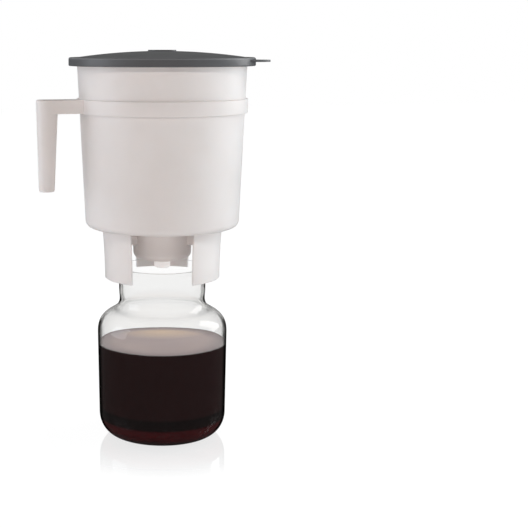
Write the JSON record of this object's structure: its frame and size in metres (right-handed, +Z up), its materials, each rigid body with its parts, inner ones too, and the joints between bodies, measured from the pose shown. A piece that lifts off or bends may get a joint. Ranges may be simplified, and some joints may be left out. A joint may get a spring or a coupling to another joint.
{
  "type": "cold brew coffee maker",
  "caption": "Cold brew coffee maker: a lidded plastic brewing container with a side handle and a filter cup, on a collar of legs round the neck of a glass decanter of coffee.",
  "frame": {"origin": "centre of the decanter's base, on the table", "axes": "+Z up along the maker's axis; the handle points along -X; the three collar legs stand at 70, 190 and 310 degrees from +X, and the lid's tab points to -30 degrees"},
  "size_m": [0.2226, 0.1844, 0.3909],
  "materials": {
    "glass": "clear polished soda-lime glass",
    "coffee": "still dark coffee with a glossy surface",
    "white_plastic": "satin, slightly translucent warm white polypropylene",
    "felt": "thick matted off-white filter felt",
    "silicone": "smooth matte white silicone",
    "lid_plastic": "satin dark grey soft plastic"
  },
  "bodies": {
    "decanter": {"decanter": "glass", "coffee": "coffee"},
    "container": {"brewing_cup": "white_plastic", "filter_cup": "white_plastic", "handle": "white_plastic", "collar_leg_1": "white_plastic", "collar_leg_2": "white_plastic", "collar_leg_3": "white_plastic"},
    "felt_pad": {"felt_pad": "felt"},
    "stopper": {"stopper": "silicone"},
    "lid": {"lid": "lid_plastic"}
  },
  "joints": [
    {"name": "container_lift", "type": "slide", "parent": "decanter", "child": "container", "axis": [0, 0, 1], "range_m": [0, 0.08]},
    {"name": "lid_lift", "type": "slide", "parent": "container", "child": "lid", "axis": [0, 0, 1], "range_m": [0, 0.08]},
    {"name": "pad_lift", "type": "slide", "parent": "container", "child": "felt_pad", "axis": [0, 0, 1], "range_m": [0, 0.12]},
    {"name": "stopper_pull", "type": "slide", "parent": "container", "child": "stopper", "axis": [0, 0, -1], "range_m": [0, 0.03]}
  ]
}
